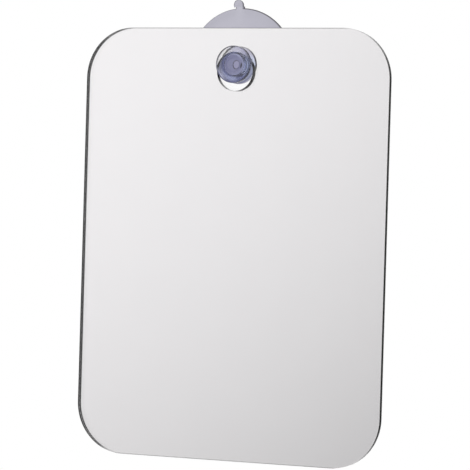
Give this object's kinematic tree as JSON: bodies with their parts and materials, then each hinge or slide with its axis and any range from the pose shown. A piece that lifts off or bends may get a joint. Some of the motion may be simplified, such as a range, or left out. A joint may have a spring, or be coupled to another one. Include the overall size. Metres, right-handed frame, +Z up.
{
  "type": "fogless shower mirror",
  "caption": "Rounded-corner clear acrylic mirror, silvered on its back, that hangs by a round hole on the neck of a clear suction cup with a pull tab.",
  "frame": {"origin": "middle of the suction cup's mouth, on the plane of the wall that it sticks to", "axes": "+Z up, +Y into the wall along the cup's axis, +X to the right of a viewer who faces the mirror"},
  "size_m": [0.13, 0.0087, 0.1814],
  "materials": {
    "clear_acrylic": "clear cast acrylic, polished faces, sawn and polished edge",
    "mirror_coat": "bright vacuum-deposited aluminium, a true mirror",
    "backing_paint": "matt grey protective back paint",
    "antifog_film": "clear water-loving anti-fog film, glossy",
    "clear_soft_vinyl": "clear soft vinyl with a faint lilac-blue cast, glossy"
  },
  "bodies": {
    "cup": {"suction_bell": "clear_soft_vinyl"},
    "stem": {"cup_stem": "clear_soft_vinyl"},
    "tab": {"pull_tab": "clear_soft_vinyl"},
    "mirror": {"acrylic_sheet": "clear_acrylic", "reflective_coat": "mirror_coat", "backing_coat": "backing_paint", "antifog_film": "antifog_film"}
  },
  "joints": [
    {"name": "cup_pull", "type": "slide", "parent": "cup", "child": "stem", "axis": [0, -1, 0], "range_m": [0, 0.004], "stiffness_N_per_m": 2500, "deforming": ["suction_bell"]},
    {"name": "mirror_turn", "type": "hinge", "parent": "stem", "child": "mirror", "pos_m": [0, -0.0065, -0.0027], "axis": [0, -1, 0], "continuous": true},
    {"name": "tab_pull", "type": "hinge", "parent": "cup", "child": "tab", "pos_m": [-0.0016, -0.0009, 0.02294], "axis": [0.9976, 0, 0.0698], "range_deg": [0, 60], "stiffness_Nm_per_rad": 0.002}
  ]
}
